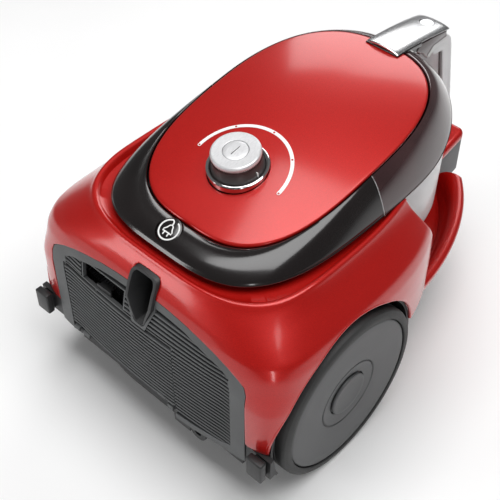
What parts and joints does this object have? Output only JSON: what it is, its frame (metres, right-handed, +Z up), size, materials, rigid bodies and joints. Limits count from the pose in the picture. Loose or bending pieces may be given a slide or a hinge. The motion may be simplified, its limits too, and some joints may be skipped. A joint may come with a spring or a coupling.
{
  "type": "canister vacuum cleaner",
  "caption": "Low canister vacuum cleaner on two big side wheels and a caster, with a slide-out clear dust bin, carrying handle, hose port and power knob.",
  "frame": {"origin": "on the floor, under the centre of the machine's bounding box", "axes": "+Z up; -Y towards the hose port and the handle; +Y towards the exhaust grille; X along the wheel axles"},
  "size_m": [0.275, 0.398, 0.2464],
  "materials": {
    "red_shell": "metallic red lacquer under clear gloss",
    "rim_black": "piano black gloss",
    "base_black": "fine grained black",
    "inner_grey": "plain moulded grey",
    "port_grey": "satin grey",
    "grille_grey": "satin dark grey",
    "wheel_grey": "satin dark grey",
    "wheel_tyre": "satin black",
    "bumper_rubber": "matt black",
    "rubber_black": "soft matt",
    "bright_chrome": "polished plating",
    "brushed_trim": "brushed plating on plastic",
    "spring_steel": "drawn",
    "mesh_steel": "fine mesh",
    "rotor_iron": "laminated with windings",
    "frosted_clear": "frosted clear",
    "smoky_clear": "clear smoky brown",
    "scale_white": "white",
    "board_green": "circuit board",
    "filter_dark": "pleated dark paper",
    "filter_foam": "open foam"
  },
  "bodies": {
    "chassis": {"base_tray": "base_black", "motor_deck": "base_black", "rear_shell": "red_shell", "front_tray": "red_shell", "bin_cradle": "inner_grey", "hood_frame": "base_black", "top_panel": "red_shell", "rear_rim": "rim_black", "hose_port": "port_grey", "port_seal": "rubber_black", "inlet_duct": "inner_grey", "rewind_spring": "spring_steel", "power_scale": "scale_white", "knob_bezel": "bright_chrome", "control_board": "board_green", "exhaust_grille": "grille_grey", "door_pin": "spring_steel", "exhaust_filter": "filter_dark", "parking_slot": "base_black", "left_bumper": "bumper_rubber", "right_bumper": "bumper_rubber", "cord_outlet": "base_black", "drum_axle": "spring_steel", "motor_housing": "inner_grey", "motor_mount": "rubber_black", "premotor_filter": "filter_foam", "left_wheel_well": "base_black", "right_wheel_well": "base_black", "left_axle": "spring_steel", "right_axle": "spring_steel", "screws": "spring_steel"},
    "knob": {"power_knob": "brushed_trim", "power_spring": "spring_steel"},
    "power_switch": {"power_button": "brushed_trim"},
    "rewind_key": {"rewind_button": "rim_black"},
    "bin": {"bin_cup": "frosted_clear", "bin_lid": "smoky_clear", "bin_seal": "rubber_black", "cyclone_cone": "inner_grey", "mesh_filter": "mesh_steel", "handle_leg": "frosted_clear", "handle_beam": "rim_black", "handle_cover": "brushed_trim", "release_spring": "spring_steel"},
    "bin_release": {"release_button": "brushed_trim"},
    "door": {"filter_door": "grille_grey"},
    "door_catch": {"door_latch": "base_black"},
    "reel": {"cord_drum": "inner_grey"},
    "rotor": {"motor_rotor": "rotor_iron"},
    "left_wheel": {"left_tyre": "wheel_tyre", "left_wheel_disc": "wheel_grey", "left_hub_cap": "wheel_grey"},
    "right_wheel": {"right_tyre": "wheel_tyre", "right_wheel_disc": "wheel_grey", "right_hub_cap": "wheel_grey"},
    "caster": {"caster_fork": "inner_grey", "caster_axle": "spring_steel"},
    "caster_roller": {"caster_wheel": "wheel_tyre"}
  },
  "joints": [
    {"name": "left_wheel_spin", "type": "hinge", "parent": "chassis", "child": "left_wheel", "pos_m": [-0.1225, 0.099, 0.078], "axis": [1, 0, 0], "continuous": true},
    {"name": "right_wheel_spin", "type": "hinge", "parent": "chassis", "child": "right_wheel", "pos_m": [0.1225, 0.099, 0.078], "axis": [1, 0, 0], "continuous": true},
    {"name": "caster_swivel", "type": "hinge", "parent": "chassis", "child": "caster", "pos_m": [0, -0.132, 0.03], "axis": [0, 0, 1], "continuous": true},
    {"name": "caster_spin", "type": "hinge", "parent": "caster", "child": "caster_roller", "pos_m": [0, -0.121, 0.016], "axis": [1, 0, 0], "continuous": true},
    {"name": "knob_turn", "type": "hinge", "parent": "chassis", "child": "knob", "pos_m": [0, 0.0815, 0.2252], "axis": [0, 0.1392, 0.9903], "range_deg": [0, 180]},
    {"name": "power_press", "type": "slide", "parent": "knob", "child": "power_switch", "axis": [0, -0.1392, -0.9903], "range_m": [0, 0.0025], "stiffness_N_per_m": 800, "springref_m": -0.001, "deforming": ["power_spring"]},
    {"name": "rewind_press", "type": "slide", "parent": "chassis", "child": "rewind_key", "axis": [0, -0.4067, -0.9135], "range_m": [0, 0.0025], "stiffness_N_per_m": 800, "springref_m": -0.001, "deforming": ["rewind_spring"]},
    {"name": "bin_slide", "type": "slide", "parent": "chassis", "child": "bin", "axis": [0, -0.9903, 0.1392], "range_m": [0, 0.06]},
    {"name": "release_press", "type": "slide", "parent": "bin", "child": "bin_release", "axis": [0, 0, -1], "range_m": [0, 0.0025], "stiffness_N_per_m": 800, "springref_m": -0.001, "deforming": ["release_spring"]},
    {"name": "door_open", "type": "hinge", "parent": "chassis", "child": "door", "pos_m": [0.0295, 0.19, 0.0586], "axis": [-1, 0, 0], "range_deg": [0, 60]},
    {"name": "latch_press", "type": "slide", "parent": "door", "child": "door_catch", "axis": [0, 0, -1], "range_m": [0, 0.003], "stiffness_N_per_m": 600, "springref_m": -0.001},
    {"name": "reel_spin", "type": "hinge", "parent": "chassis", "child": "reel", "pos_m": [0.053, 0.102, 0.126], "axis": [1, 0, 0], "continuous": true},
    {"name": "rotor_spin", "type": "hinge", "parent": "chassis", "child": "rotor", "pos_m": [-0.04, 0.1, 0.122], "axis": [0, 1, 0], "continuous": true}
  ]
}
